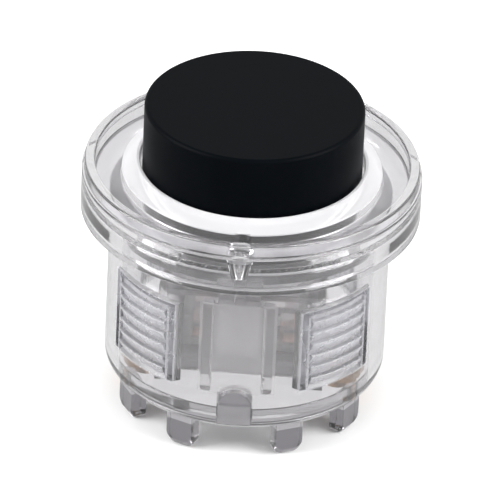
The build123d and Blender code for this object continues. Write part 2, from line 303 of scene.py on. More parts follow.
@dataclass(frozen=True)
class Zone:
    """A region round the press axis whose tint and white share paint brightness and shade into the clear
    plastic's colour, in millimetres and degrees from the sides.
    """

    inner: float
    outer: float
    low: float
    high: float
    # painted colour of the zone: pale for painted brightness, grey or dark for painted shade
    tint: tuple[float, float, float]
    roughness: float = 0.0
    # share of flat white laid over the glass here: painted brightness
    painted_white: float = 0.0
    heading: float = 45.0
    half_angle: float = 90.0

    def mask(self, graph: Graph) -> Link:
        """Where the zone lies, 0 outside and 1 inside.

        Args:
            graph: the material's graph.

        Returns:
            The mask.
        """
        millimetres = graph.node(
            "ShaderNodeVectorMath", {"operation": "SCALE"}, {0: graph.place(), "Scale": 1 / MM}
        )
        split = graph.node("ShaderNodeSeparateXYZ", {}, {"Vector": millimetres}).source.node
        x, y, z = (Link(graph, socket) for socket in split.outputs)
        radius = graph.maths("SQRT", x * x + y * y)
        angle = graph.maths("ARCTAN2", graph.maths("ABSOLUTE", y), graph.maths("ABSOLUTE", x))
        aside = graph.maths("ABSOLUTE", angle * (180 / math.pi) - self.heading)
        edge = 0.03
        outwards = radius.ramp(self.inner - edge, self.inner + edge)
        ring = outwards * (self.outer - radius).ramp(-edge, edge)
        level = z.ramp(self.low - edge, self.low + edge) * (self.high - z).ramp(-edge, edge)
        return ring * level * (self.half_angle - aside).ramp(-0.2, 0.2)


# painted brightness: a pale tint and a large share of flat white over the collar, in place of the dark cap's
# reflection
COLLAR_PAINTED_WHITE = Zone(9.3, 11.0, 3.7, 4.7, (0.95, 0.945, 0.965), 0.1, 0.46)
# painted brightness: flat white over the trough floor, where it otherwise shows dark crescents of the flange
# and dampers beneath
TROUGH_PAINTED_WHITE = Zone(10.85, 13.3, 2.5, 3.0, (0.9, 0.89, 0.92), 0.1, 0.3)
# spring tongues and slits: the grey tint is painted shade, the flat white is painted brightness over slit
# walls that read dark, and the added roughness frosts them
TAB_PAINTED_GREY_AND_WHITE = Zone(10.4, 12.3, -11.35, -3.6, (0.78, 0.78, 0.815), 0.25, 0.2, 45.0, 19.0)
# painted shade: a dark grey tint on the keys and arch pockets at front and back
KEY_PAINTED_SHADE = Zone(9.5, 12.0, -14.3, -11.1, (0.38, 0.37, 0.39), 0.2, 0.15, 90.0, 7.2)
# painted brightness: flat white on the guide ribs and the carrier's arms, lifting the dim interior
RIBS_PAINTED_WHITE = Zone(8.5, 10.7, -11.7, -3.0, (0.97, 0.96, 0.97), 0.02, 0.3, 90.0, 17.0)
# painted brightness: a little flat white over the whole switch cover, lifting the dim interior and veiling the
# mechanism
COVER_PAINTED_WHITE = Zone(0.0, 10.0, -13.0, -4.0, (0.97, 0.96, 0.97), 0.03, 0.1)
# painted shade: the leg tips below the base are tinted dark grey
LEGS_PAINTED_SHADE = Zone(9.0, 12.0, -19.0, -15.35, (0.27, 0.26, 0.28), 0.02)


@dataclass(frozen=True)
class ClearPlastic:
    """Polished clear polycarbonate with faint moulding waves, and zones where brightness and shade are painted
    into its colour.
    """

    name: str
    zones: tuple[Zone, ...] = ()
    tint: tuple[float, float, float] = (0.955, 0.945, 0.96)
    clearness: float = 0.97
    roughness: float = 0.015
    wave: float = 0.0025
    alpha: float = 1.0

    def make(self) -> Material:
        """Build the material."""
        material, graph, shader = new_material(self.name)
        haze = graph.noise(1.4, 3.0)
        shader.inputs["IOR"].default_value = 1.585
        shader.inputs["Alpha"].default_value = self.alpha
        shader.inputs["Transmission Weight"].default_value = self.clearness
        colour = graph.mix(haze, self.tint, (0.94, 0.935, 0.95))
        roughness = haze.ramp(0.45, 0.75) * 0.03 + self.roughness
        painted_white: Value = 0.0
        # each zone lays its painted tint and its share of painted white over the glass colour
        for zone in self.zones:
            mask = zone.mask(graph)
            colour = graph.mix(mask, colour, zone.tint)
            roughness = roughness + mask * zone.roughness
            painted_white = mask * zone.painted_white + painted_white
        cover_with(graph, shader, colour, roughness, graph.bump(graph.noise(2.2, 1.0), self.wave))
        if self.zones:
            # flat white shader mixed in by the zones' white share: painted brightness
            white = graph.node(
                "ShaderNodeBsdfPrincipled",
                {},
                {"Base Color": colour, "Roughness": roughness, "Specular IOR Level": 0.0},
            )
            graph.blend(material, painted_white, shader.outputs["BSDF"], white)
        return material


@dataclass(frozen=True)
class MattePlastic:
    """Dyed moulded plastic with a spark-eroded grain."""

    name: str
    colour: tuple[float, float, float]
    pale: tuple[float, float, float]
    roughness: float = 0.5
    grain: float = 0.12
    depth: float = 0.006
    shine: float = 0.5

    def make(self) -> Material:
        """Build the material."""
        material, graph, shader = new_material(self.name)
        patch = graph.noise(3.0, 4.0)
        fine = graph.noise(self.grain, 3.0, 0.7)
        colour = graph.mix(patch.ramp(0.3, 0.7) * 0.6 + fine * 0.4, self.colour, self.pale)
        shader.inputs["IOR"].default_value = 1.49
        shader.inputs["Specular IOR Level"].default_value = self.shine
        roughness = (patch - 0.5) * 0.12 + self.roughness
        cover_with(graph, shader, colour, roughness, graph.bump(fine, self.depth))
        return material


@dataclass(frozen=True)
class RolledMetal:
    """Stamped strip with rolling lines and slight tarnish."""

    name: str
    colour: tuple[float, float, float]
    tarnish: tuple[float, float, float]
    roughness: float = 0.22
    line: float = 0.03

    def make(self) -> Material:
        """Build the material."""
        material, graph, shader = new_material(self.name)
        cloud = graph.noise(1.6, 5.0, 0.6)
        stretched = graph.node(
            "ShaderNodeMapping", {}, {"Vector": graph.place(), "Scale": (0.04, 1.0, 1.0)}
        )
        lines = graph.node(
            "ShaderNodeTexNoise", {}, {"Vector": stretched, "Scale": 1 / (self.line * MM), "Detail": 2.0}
        )
        shader.inputs["Metallic"].default_value = 1.0
        colour = graph.mix(cloud.ramp(0.5, 0.85), self.colour, self.tarnish)
        roughness = cloud * 0.18 + lines * 0.08 + self.roughness - 0.1
        cover_with(graph, shader, colour, roughness, graph.bump(lines, 0.0012))
        return material


@dataclass(frozen=True)
class Silicone:
    """Soft translucent rubber with a dusty bloom."""

    name: str
    colour: tuple[float, float, float] = (0.86, 0.86, 0.87)

    def make(self) -> Material:
        """Build the material."""
        material, graph, shader = new_material(self.name)
        bloom = graph.noise(0.5, 4.0)
        shader.inputs["Transmission Weight"].default_value = 0.3
        shader.inputs["IOR"].default_value = 1.41
        colour = graph.mix(bloom, self.colour, (0.95, 0.95, 0.96))
        cover_with(graph, shader, colour, bloom * 0.2 + 0.35, graph.bump(bloom, 0.004))
        return material


def ready(finish: ClearPlastic | MattePlastic | RolledMetal | Silicone) -> Any:
    """Make a finish when the set of finishes is made."""
    return field(default_factory=finish.make)


@dataclass(frozen=True)
class Finishes:
    """Every finish on the button."""

    clear: Material = ready(
        ClearPlastic("clear_polycarbonate", (COLLAR_PAINTED_WHITE, TROUGH_PAINTED_WHITE, TAB_PAINTED_GREY_AND_WHITE, KEY_PAINTED_SHADE, RIBS_PAINTED_WHITE, LEGS_PAINTED_SHADE))
    )
    inner: Material = ready(ClearPlastic("inner_polycarbonate", (RIBS_PAINTED_WHITE,), alpha=0.85))
    cover: Material = ready(
        ClearPlastic("cover_polycarbonate", (COVER_PAINTED_WHITE,), roughness=0.03, wave=0.004, alpha=0.8)
    )
    black_cap: Material = ready(
        MattePlastic(
            "black_cap_grain", (0.0008, 0.0014, 0.0022), (0.0014, 0.0022, 0.0032), 0.42, shine=0.03
        )
    )
    black_case: Material = ready(
        MattePlastic("black_nylon", (0.02, 0.018, 0.017), (0.035, 0.032, 0.03), 0.45)
    )
    natural: Material = ready(
        MattePlastic("natural_acetal", (0.74, 0.77, 0.73), (0.8, 0.82, 0.79), 0.35, 0.3, 0.003)
    )
    brass: Material = ready(RolledMetal("terminal_brass", (0.27, 0.135, 0.035), (0.16, 0.08, 0.02)))
    copper: Material = ready(RolledMetal("phosphor_bronze", (0.86, 0.55, 0.42), (0.55, 0.32, 0.22)))
    silver: Material = ready(RolledMetal("contact_silver", (0.9, 0.89, 0.86), (0.6, 0.57, 0.52)))
    steel: Material = ready(RolledMetal("spring_steel", (0.66, 0.66, 0.67), (0.42, 0.41, 0.4)))
    silicone: Material = ready(Silicone("damper_silicone"))


# ---------------------------------------------------------------- meshes


def rounded(corners: Sequence[Corner], closed: bool = True, steps: int = ROUND_STEPS) -> list[Point]:
    """Round the corners of an outline.

    Args:
        corners: x, y and radius of each corner, in order.
        closed: whether the last corner joins the first.
        steps: straight pieces in each round.

    Returns:
        The points of the rounded outline.
    """
    points: list[Point] = []
    count = len(corners)
    for index, (x, y, radius) in enumerate(corners):
        here = Vector((x, y))
        end = not closed and index in (0, count - 1)
        before = Vector(corners[index - 1][:2])
        after = Vector(corners[(index + 1) % count][:2])
        if radius <= 0 or end:
            points.append((x, y))
            continue
        inward, outward = (before - here).normalized(), (after - here).normalized()
        half = inward.angle(outward) / 2
        reach = min(radius / math.tan(half), 0.49 * (before - here).length, 0.49 * (after - here).length)
        centre = here + (inward + outward).normalized() * (reach / math.cos(half))
        start, stop = here + inward * reach - centre, here + outward * reach - centre
        sweep = start.angle_signed(stop)
        for step in range(steps + 1):
            turned = start.copy()
            turned.rotate(Matrix.Rotation(-sweep * step / steps, 2))
            points.append(tuple(centre + turned))
    return points


def in_scene(name: str, data: bpy.types.ID) -> Solid:
    """Put new data in the scene as an object."""
    made = bpy.data.objects.new(name, data)
    bpy.context.scene.collection.objects.link(made)
    return made


def lower_corner(centre: Point, radius: float, angles: Point, steps: int) -> list[Corner]:
    """Round the barrel's lower corner.

    Args:
        centre: radius and height of the round's centre.
        radius: of the round.
        angles: first and last angle below level, in radians.
        steps: straight pieces in it.

    Returns:
        The points, downwards.
    """
    first, last = angles
    bends = [first + (last - first) * step / steps for step in range(steps + 1)]
    return [(centre[0] + radius * math.cos(a), centre[1] - radius * math.sin(a), 0) for a in bends]


def to_object(name: str, mesh: bmesh.types.BMesh) -> Solid:
    """Turn a bmesh, in millimetres, into an object in metres with outward normals.

    Args:
        name: the object's name.
        mesh: the bmesh, which is freed.

    Returns:
        The new object.
    """
    bmesh.ops.remove_doubles(mesh, verts=mesh.verts, dist=1e-5)
    bmesh.ops.recalc_face_normals(mesh, faces=mesh.faces)
    bmesh.ops.scale(mesh, vec=(MM, MM, MM), verts=mesh.verts)
    data = bpy.data.meshes.new(name)
    mesh.to_mesh(data)
    mesh.free()
    return in_scene(name, data)


def turned(name: str, outline: Sequence[Point], steps: int = TURN_STEPS) -> Solid:
    """Turn an outline about the press axis.

    Args:
        name: the object's name.
        outline: radius and height of each point of a closed outline.
        steps: number of sides.

    Returns:
        The closed solid.
    """
    mesh = bmesh.new()
    rings = []
    for radius, height in outline:
        if radius < 1e-6:
            pole = mesh.verts.new((0, 0, height))
            rings.append([pole] * steps)
            continue
        angles = [2 * math.pi * step / steps for step in range(steps)]
        around = [(radius * math.cos(a), radius * math.sin(a), height) for a in angles]
        rings.append([mesh.verts.new(point) for point in around])
    for ring, following in zip(rings, rings[1:] + rings[:1]):
        for step in range(steps):
            after = (step + 1) % steps
            corners = [ring[step], ring[after], following[after], following[step]]
            unique = list(dict.fromkeys(corners))
            if len(unique) > 2:
                mesh.faces.new(unique)
    return to_object(name, mesh)


def loft(
    name: str, sections: Sequence[Sequence[Sequence[float]]], place: Matrix | None = None
) -> Solid:
    """Join equal sections into a closed solid.

    Args:
        name: the object's name.
        sections: points of each section, in order.
        place: where the sections' own axes lie.

    Returns:
        The closed solid.
    """
    mesh = bmesh.new()
    rings = [[mesh.verts.new(point) for point in section] for section in sections]
    for ring, following in zip(rings, rings[1:]):
        for index in range(len(ring)):
            after = (index + 1) % len(ring)
            mesh.faces.new((ring[index], ring[after], following[after], following[index]))
    mesh.faces.new(rings[0])
    mesh.faces.new(list(reversed(rings[-1])))
    if place is not None:
        bmesh.ops.transform(mesh, matrix=place, verts=mesh.verts)
    return to_object(name, mesh)


def sector(name: str, outline: Sequence[Point], start: float, span: float, steps: int) -> Solid:
    """Turn an outline part of the way about the press axis.

    Args:
        name: the object's name.
        outline: radius and height of each point of a closed outline.
        start: first angle in degrees from the front.
        span: degrees turned.
        steps: number of sides.

    Returns:
        The closed solid.
    """
    angles = [math.radians(start - 90 + span * step / steps) for step in range(steps + 1)]
    return loft(name, [[(r * math.cos(a), r * math.sin(a), h) for r, h in outline] for a in angles])


def prism(
    name: str, outline: Sequence[Point], low: float, high: float, place: Matrix | None = None
) -> Solid:
    """Stretch an outline along its local Z axis.

    Args:
        name: the object's name.
        outline: x and y of each point of a closed outline.
        low: first end.
        high: other end.
        place: where the outline's own axes lie.

    Returns:
        The closed solid.
    """
    return loft(name, [[(x, y, z) for x, y in outline] for z in (low, high)], place)


def facing(angle: float, distance: float = 0.0) -> Matrix:
    """Axes of an upright plane that faces outwards.

    Args:
        angle: degrees from the front.
        distance: how far it stands from the press axis.

    Returns:
        The matrix: x along the plane, y up, z outwards.
    """
    heading = math.radians(angle - 90)
    outward = Vector((math.cos(heading), math.sin(heading), 0))
    along = Vector((-outward.y, outward.x, 0))
    rows = Matrix((along, Vector((0, 0, 1)), outward)).transposed().to_4x4()
    rows.translation = outward * distance
    return rows


def rectangle(
    width: float, height: float, radius: float = 0.0, x: float = 0.0, y: float = 0.0
) -> list[Point]:
    """Outline of a rectangle about a centre.

    Args:
        width: along x.
        height: along y.
        radius: of its corners.
        x: centre.
        y: centre.

    Returns:
        The outline.
    """
    signs = ((-1, -1), (1, -1), (1, 1), (-1, 1))
    return rounded([(x + a * width / 2, y + b * height / 2, radius) for a, b in signs])


def arch(width: float, height: float, bottom: float, steps: int = 24) -> list[Point]:
    """Outline of an upright slot with a round top.

    Args:
        width: of the slot.
        height: to the crown.
        bottom: where it stands.
        steps: pieces in its round top.

    Returns:
        The outline.
    """
    radius = width / 2
    spring_line = bottom + height - radius
    top = [math.pi * step / steps for step in range(steps + 1)]
    round_top = [(radius * math.cos(a), spring_line + radius * math.sin(a)) for a in top]
    return [(-radius, bottom), (radius, bottom), *round_top]


def combine(target: Solid, tool: Solid, cut: Cut) -> None:
    """Add a solid to another, take it away or keep what both share.

    Args:
        target: the solid that is changed.
        tool: the other, which is removed.
        cut: what is done.
    """
    modifier = target.modifiers.new("combine", "BOOLEAN")
    modifier.operation = cut.value
    modifier.solver = "MANIFOLD"
    modifier.object = tool
    apply_modifiers(target)
    bpy.data.objects.remove(tool)


def apply_modifiers(target: Solid) -> None:
    """Replace an object's mesh by its evaluated one and drop its modifiers."""
    bpy.context.view_layer.update()
    graph = bpy.context.evaluated_depsgraph_get()
    result = bpy.data.meshes.new_from_object(target.evaluated_get(graph))
    target.modifiers.clear()
    target.data = result


def soften(target: Solid, width: float, segments: int = 2) -> None:
    """Bevel the sharp edges of a plain solid by a width in millimetres."""
    bevel = target.modifiers.new("soften", "BEVEL")
    bevel.width = width * MM
    bevel.segments = segments
    bevel.limit_method = "ANGLE"
    bevel.angle_limit = math.radians(35)
    apply_modifiers(target)


def smooth(target: Solid, angle: float = SMOOTH_ANGLE) -> None:
    """Shade smooth up to an angle, with flats kept flat."""
    target.data.shade_smooth()
    target.data.set_sharp_from_angle(angle=angle)
    weight = target.modifiers.new("weight", "WEIGHTED_NORMAL")
    weight.keep_sharp = True
    weight.weight = 60
    apply_modifiers(target)


# ---------------------------------------------------------------- repeats


class Pattern:
    """A Geometry Nodes tree built in the script, with named inputs."""

    def __init__(self, name: str, inputs: dict[str, tuple[str, Value]]) -> None:
        """Start the tree.

        Args:
            name: its name.
            inputs: socket type and default of each named input.
        """
        self.tree = bpy.data.node_groups.new(name, "GeometryNodeTree")
        face = self.tree.interface
        face.new_socket("Geometry", in_out="INPUT", socket_type="NodeSocketGeometry")
        face.new_socket("Geometry", in_out="OUTPUT", socket_type="NodeSocketGeometry")
        for key, (kind, default) in inputs.items():
            face.new_socket(key, in_out="INPUT", socket_type=kind).default_value = default
        self.graph = Graph(self.tree)
        self.entry = self.tree.nodes.new("NodeGroupInput")

    def given(self, name: str) -> Link:
        """One of the named inputs."""
        return Link(self.graph, self.entry.outputs[name])

    def finish(self, geometry: Link) -> None:
        """End the tree in real, dressed geometry."""
        real = self.graph.node("GeometryNodeRealizeInstances", {}, {"Geometry": geometry})
        dressed = self.graph.node(
            "GeometryNodeSetMaterial", {}, {"Geometry": real, "Material": self.given("Material")}
        )
        out = self.tree.nodes.new("NodeGroupOutput")
        self.graph.feed(out.inputs["Geometry"], dressed)

    def grow(self, target: Solid, values: dict[str, Value]) -> Solid:
        """Run the tree on an object and keep the plain mesh.

        Args:
            target: the object whose mesh goes in.
            values: the inputs by name.

        Returns:
            The same object with the grown mesh.
        """
        modifier = target.modifiers.new("pattern", "NODES")
        modifier.node_group = self.tree
        for item in self.tree.interface.items_tree:
            if item.in_out == "INPUT" and item.name in values:
                modifier[item.identifier] = values[item.name]
        apply_modifiers(target)
        return target


def ring_pattern() -> Pattern:
    """Copies of a piece set round the press axis and stacked along it.

    Returns:
        The pattern, whose angles are in radians and rise in metres.
    """
    pattern = Pattern(
        "ring_and_stack",
        {
            "Around": ("NodeSocketInt", 4),
            "Step Angle": ("NodeSocketFloat", math.pi / 2),
            "First Angle": ("NodeSocketFloat", 0.0),
            "Stacked": ("NodeSocketInt", 1),
            "Rise": ("NodeSocketFloat", 0.0),
            "Material": ("NodeSocketMaterial", None),
        },
    )
    graph = pattern.graph
    rise = graph.node("ShaderNodeCombineXYZ", {}, {"Z": pattern.given("Rise")})
    stack = graph.node(
        "GeometryNodeMeshLine", {"mode": "OFFSET"}, {"Count": pattern.given("Stacked"), "Offset": rise}
    )
    stacked = graph.node(
        "GeometryNodeInstanceOnPoints", {}, {"Points": stack, "Instance": pattern.given("Geometry")}
    )
    ring = graph.node(
        "GeometryNodeMeshLine", {"mode": "OFFSET"}, {"Count": pattern.given("Around"), "Offset": (0, 0, 0)}
    )
    number = graph.node("GeometryNodeInputIndex")
    angle = number * pattern.given("Step Angle") + pattern.given("First Angle")
    turn = graph.node("ShaderNodeCombineXYZ", {}, {"Z": angle})
    around = graph.node(
        "GeometryNodeInstanceOnPoints", {}, {"Points": ring, "Instance": stacked, "Rotation": turn}
    )
    pattern.finish(around)
    return pattern


def coil_pattern() -> Pattern:
    """A wound wire spring standing on its foot.

    Returns:
        The pattern, with sizes in metres.
    """
    pattern = Pattern(
        "wire_coil",
        {
            "Turns": ("NodeSocketFloat", 8.0),
            "Radius": ("NodeSocketFloat", 0.001),
            "Wire": ("NodeSocketFloat", 0.0002),
            "Height": ("NodeSocketFloat", 0.01),
            "Foot": ("NodeSocketFloat", 0.0),
            "Material": ("NodeSocketMaterial", None),
        },
    )
    graph = pattern.graph
    path = graph.node(
        "GeometryNodeCurveSpiral",
        {},
        {
            "Resolution": 40,
            "Rotations": pattern.given("Turns"),
            "Start Radius": pattern.given("Radius"),
            "End Radius": pattern.given("Radius"),
            "Height": pattern.given("Height"),
        },
    )
    lift = graph.node("ShaderNodeCombineXYZ", {}, {"Z": pattern.given("Foot")})
    raised = graph.node("GeometryNodeSetPosition", {}, {"Geometry": path, "Offset": lift})
    wire = graph.node(
        "GeometryNodeCurvePrimitiveCircle", {}, {"Resolution": 12, "Radius": pattern.given("Wire")}
    )
    tube = graph.node(
        "GeometryNodeCurveToMesh", {}, {"Curve": raised, "Profile Curve": wire, "Fill Caps": True}
    )
    pattern.finish(tube)
    return pattern


# ---------------------------------------------------------------- sub-assemblies


@dataclass
class Part:
    """What every sub-assembly shares: its finishes and a way to hand pieces over."""

    finishes: Finishes
    ring: Pattern

    def hand_over(
        self, piece: Solid, node: str, body: Body, material: Material, slot: str
    ) -> Solid:
        """Finish a piece and put it in the CAD node's place.

        Args:
            piece: the new piece.
            node: the CAD node that it stands for.
            body: the body that it moves with.
            material: its finish.
            slot: the record's material slot; not used.

        Returns:
            The piece.
        """
        smooth(piece)
        piece.data.materials.clear()
        piece.data.materials.append(material)
        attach(piece, body.value)
        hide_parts(node)
        log.info("%s: %d faces", piece.name, len(piece.data.polygons))
        return piece


@dataclass
class Housing(Part):
    """Clear bezel and barrel in one moulding, sizes in millimetres."""

    lip_radius: float = 14.02
    lip_height: float = 0.9
    lip_width: float = 0.85
    trough_floor: float = 2.85
    collar_radius: float = 10.9
    collar_edge: float = 3.8
    bezel_height: float = 4.5
    bore_gap: float = 0.2
    barrel_radius: float = 11.8
    barrel_wall: float = 1.2
    barrel_depth: float = 14.3
    corner_radius: float = 1.6
    corner_foot: float = -15.1
    shoulder: float = 0.9
    tab_angle: float = 45.0
    tab_span: float = 31.0
    tab_slit: float = 0.5
    tab_top: float = 3.7
    tab_bottom: float = 11.2
    tab_relief: float = 0.25
    tooth_rise: float = 0.45
    tooth_start: float = 0.4
    tooth_pitch: float = 1.1
    tooth_land: float = 0.2
    tooth_count: int = 6
    rib_inner: float = 2.0
    rib_width: float = 0.85
    rib_reach: float = 1.6
    rib_top: float = 3.2
    rib_bottom: float = 11.6
    arch_width: float = 2.9
    arch_height: float = 3.2
    gate_radius: float = 1.1
    gate_tip: float = 0.6
    gate_depth: float = 2.0

    def outline(self) -> list[Point]:
        """Section of the moulding, radius and height."""
        low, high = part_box("housing")
        bezel_radius, collar_top = high.x / MM, high.z / MM
        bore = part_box("cap")[1].x / MM + self.bore_gap
        inner = self.barrel_radius - self.barrel_wall
        rim_inner = self.lip_radius - self.lip_width
        step = self.bezel_height - self.lip_height
        upper = [
            (bore, self.shoulder, 0.05),
            (bore, collar_top, 0.12),
            (bore + 0.3, collar_top, 0.1),
            (self.collar_radius, self.collar_edge, 0.2),
            (self.collar_radius, self.trough_floor, 0.15),
            (rim_inner, self.trough_floor, 0.25),
            (rim_inner, self.bezel_height, 0.14),
            (self.lip_radius, self.bezel_height, 0.22),
            (self.lip_radius, step, 0.04),
            (bezel_radius, step, 0.12),
            (bezel_radius, 0, 0.08),
            (self.barrel_radius, 0, 0.1),
        ]
        centre_r = self.barrel_radius - self.corner_radius
        centre_z = self.corner_foot + self.corner_radius
        last = math.asin((centre_z + self.barrel_depth) / self.corner_radius)
        corner = lower_corner((centre_r, centre_z), self.corner_radius, (0.0, last), ROUND_STEPS)
        lower = [(inner, -self.barrel_depth, 0.05), (inner, self.shoulder, 0.08)]
        return rounded([*upper, *corner, *lower])

    def tabs(self, shell: Solid) -> None:
        """Cut the four spring tongues free and give them their teeth."""
        half = self.barrel_radius * math.sin(math.radians(self.tab_span / 2))
        top, bottom = -self.tab_top, -self.tab_bottom
        slit = self.tab_slit
        u_shape = [
            (-half - slit, bottom), (-half, bottom), (-half, top - slit), (half, top - slit),
            (half, bottom), (half + slit, bottom), (half + slit, top), (-half - slit, top),
        ]
        wall = self.barrel_wall
        cutter = prism("slit", u_shape, -2 * wall, 2 * wall, facing(0, self.barrel_radius - wall))
        combine(shell, self.around(cutter), Cut.TAKE)
        tongue = self.barrel_radius - self.tab_relief
        outer = self.barrel_radius + 1
        relief = [
            (tongue, top + 0.01), (outer, top + 0.01), (outer, bottom), (self.barrel_radius, bottom),
            (tongue, bottom + self.tab_relief),
        ]
        span = self.tab_span - 2
        cutter = sector("relief", relief, -span / 2, span, 16)
        combine(shell, self.around(cutter), Cut.TAKE)
        crest = top - slit - self.tooth_start
        foot = crest - self.tooth_pitch + self.tooth_land
        tooth = rounded(
            [
                (tongue - 0.2, crest, 0), (tongue + self.tooth_rise, crest, 0.08), (tongue, foot, 0),
                (tongue - 0.2, foot, 0),
            ],
            steps=3,
        )
        span = self.tab_span - 4
        ladder = sector("teeth", tooth, -span / 2, span, 16)
        combine(shell, self.around(ladder, self.tooth_count, -self.tooth_pitch), Cut.ADD)

    def around(self, piece: Solid, stacked: int = 1, rise: float = 0.0) -> Solid:
        """Repeat a piece at the four tabs.

        Args:
            piece: the piece at the front.
            stacked: copies along the axis.
            rise: step between them in millimetres.

        Returns:
            The repeated piece.
        """
        return self.ring.grow(
            piece,
            {
                "Around": 4, "Step Angle": math.pi / 2, "First Angle": math.radians(self.tab_angle),
                "Stacked": stacked, "Rise": rise * MM,
            },
        )

    def ribs(self, shell: Solid) -> None:
        """Add the two pairs of guide ribs inside the barrel."""
        out = self.barrel_radius - self.barrel_wall * 3 / 4
        for end in (-1, 1):
            for side in (-1, 1):
                x = side * (self.rib_inner + self.rib_width / 2)
                plan = rectangle(self.rib_width, self.rib_reach, 0.15, x, end * (out - self.rib_reach / 2))
                rib = prism("rib", plan, -self.rib_bottom, -self.rib_top)
                soften(rib, 0.2, 3)
                combine(shell, rib, Cut.ADD)

    def build(self) -> Solid:
        """Make the housing's mesh."""
        shell = turned("clear_housing", self.outline())
        self.tabs(shell)
        self.ribs(shell)
        slot = arch(self.arch_width, self.arch_height + 1, -self.barrel_depth - 1)
        for angle in (0, 180):
            cutter = prism("arch", slot, -2 * self.barrel_wall, 1, facing(angle, self.barrel_radius))
            combine(shell, cutter, Cut.TAKE)
        gate = turned(
            "gate",
            rounded(
                [
                    (0, self.trough_floor + 1, 0), (self.gate_radius + 0.3, self.trough_floor + 1, 0),
                    (self.gate_radius, self.trough_floor, 0),
                    (self.gate_tip, self.trough_floor - self.gate_depth, 0.15),
                    (0, self.trough_floor - self.gate_depth, 0),
                ],
                closed=False,
            ),
            48,
        )
        distance = (self.collar_radius + self.lip_radius - self.lip_width) / 2
        gate.data.transform(Matrix.Translation((0, -distance * MM, 0)))
        combine(shell, gate, Cut.TAKE)
        return shell

    def dress(self) -> None:
        """Build the housing and hand it over."""
        self.hand_over(self.build(), "housing", Body.HOUSING, self.finishes.clear, "clear_plastic")


@dataclass
class Base(Part):
    """Clear floor with eight legs and two keys, sizes in millimetres."""

    barrel_radius: float = 11.8
    inner_radius: float = 10.6
    barrel_depth: float = 14.3
    floor_top: float = -13.1
    bottom: float = -15.1
    corner_radius: float = 1.6
    clearance: float = 0.05
    leg_radius: float = 11.0
    leg_depth: float = 1.4
    leg_width: float = 2.4
    leg_round: float = 0.7
    leg_bevel: float = 0.45
    front_leg_angle: float = 25.0
    side_leg_angle: float = 60.0
    key_depth: float = 1.9
    key_width: float = 2.8
    key_height: float = 3.15
    slot_x: float = 9.25
    slot_size: tuple[float, float] = (0.6, 2.9)
    rivet_x: float = 7.85
    rivet_y: float = 3.4
    rivet_hole: float = 0.55

    def floor_outline(self) -> list[Point]:
        """Section of the floor, radius and height."""
        centre_r = self.barrel_radius - self.corner_radius
        centre_z = self.bottom + self.corner_radius
        first = math.asin((centre_z + self.barrel_depth) / self.corner_radius)
        corner = lower_corner((centre_r, centre_z), self.corner_radius, (first, math.pi / 2), 8)
        inner = self.inner_radius - self.clearance
        top = [(0, self.floor_top, 0), (inner, self.floor_top, 0.1), (inner, -self.barrel_depth, 0.03)]
        return rounded([*top, *corner, (0, self.bottom, 0)], closed=False)

    def leg(self) -> Solid:
        """One leg at the front, rounded at its foot and bevelled outside."""
        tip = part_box("base")[0].z / MM
        half = self.leg_width / 2
        sections = []
        for radius, lift in (
            (self.leg_radius - self.leg_depth, 0.0),
            (self.leg_radius - self.leg_bevel, 0.0),
            (self.leg_radius, 1.4 * self.leg_bevel),
        ):
            foot = [(side * half, tip + lift, self.leg_round) for side in (-1, 1)]
            head = [(side * half, -self.barrel_depth, 0) for side in (1, -1)]
            sections.append([(x, -radius, z) for x, z in rounded([*foot, *head])])
        leg = loft("leg", sections)
        soften(leg, 0.07)
        return leg

    def build(self) -> Solid:
        """Make the base's mesh."""
        floor = turned("clear_base", self.floor_outline())
        for lean in (self.front_leg_angle, self.side_leg_angle, -self.front_leg_angle, -self.side_leg_angle):
            pair = self.ring.grow(
                self.leg(), {"Around": 2, "Step Angle": math.pi, "First Angle": math.radians(lean)}
            )
            combine(floor, pair, Cut.ADD)
        for angle in (0, 180):
            self.add_key(floor, angle)
        for side in (-1, 1):
            slot = prism("slot", rectangle(*self.slot_size, 0.05, side * self.slot_x, 0), -16, -13)
            combine(floor, slot, Cut.TAKE)
            for end in (-1, 1):
                hole = turned(
                    "hole", [(0, -13), (self.rivet_hole, -13), (self.rivet_hole, -16), (0, -16)], 32
                )
                hole.data.transform(
                    Matrix.Translation((side * self.rivet_x * MM, end * self.rivet_y * MM, 0))
                )
                combine(floor, hole, Cut.TAKE)
        return floor

    def add_key(self, floor: Solid, angle: float) -> None:
        """Add one arch-shaped key whose face follows the barrel."""
        outline = arch(self.key_width, self.key_height, -self.barrel_depth)
        key = prism("key", outline, -self.key_depth, 1, facing(angle, self.barrel_radius))
        skin = self.barrel_radius - self.clearance
        round_face = turned("round_face", [(0, -9), (skin, -9), (skin, -20), (0, -20)])
        combine(key, round_face, Cut.KEEP)
        combine(floor, key, Cut.ADD)

    def dress(self) -> None:
        """Build the base and hand it over."""
        self.hand_over(self.build(), "base", Body.HOUSING, self.finishes.clear, "clear_plastic")


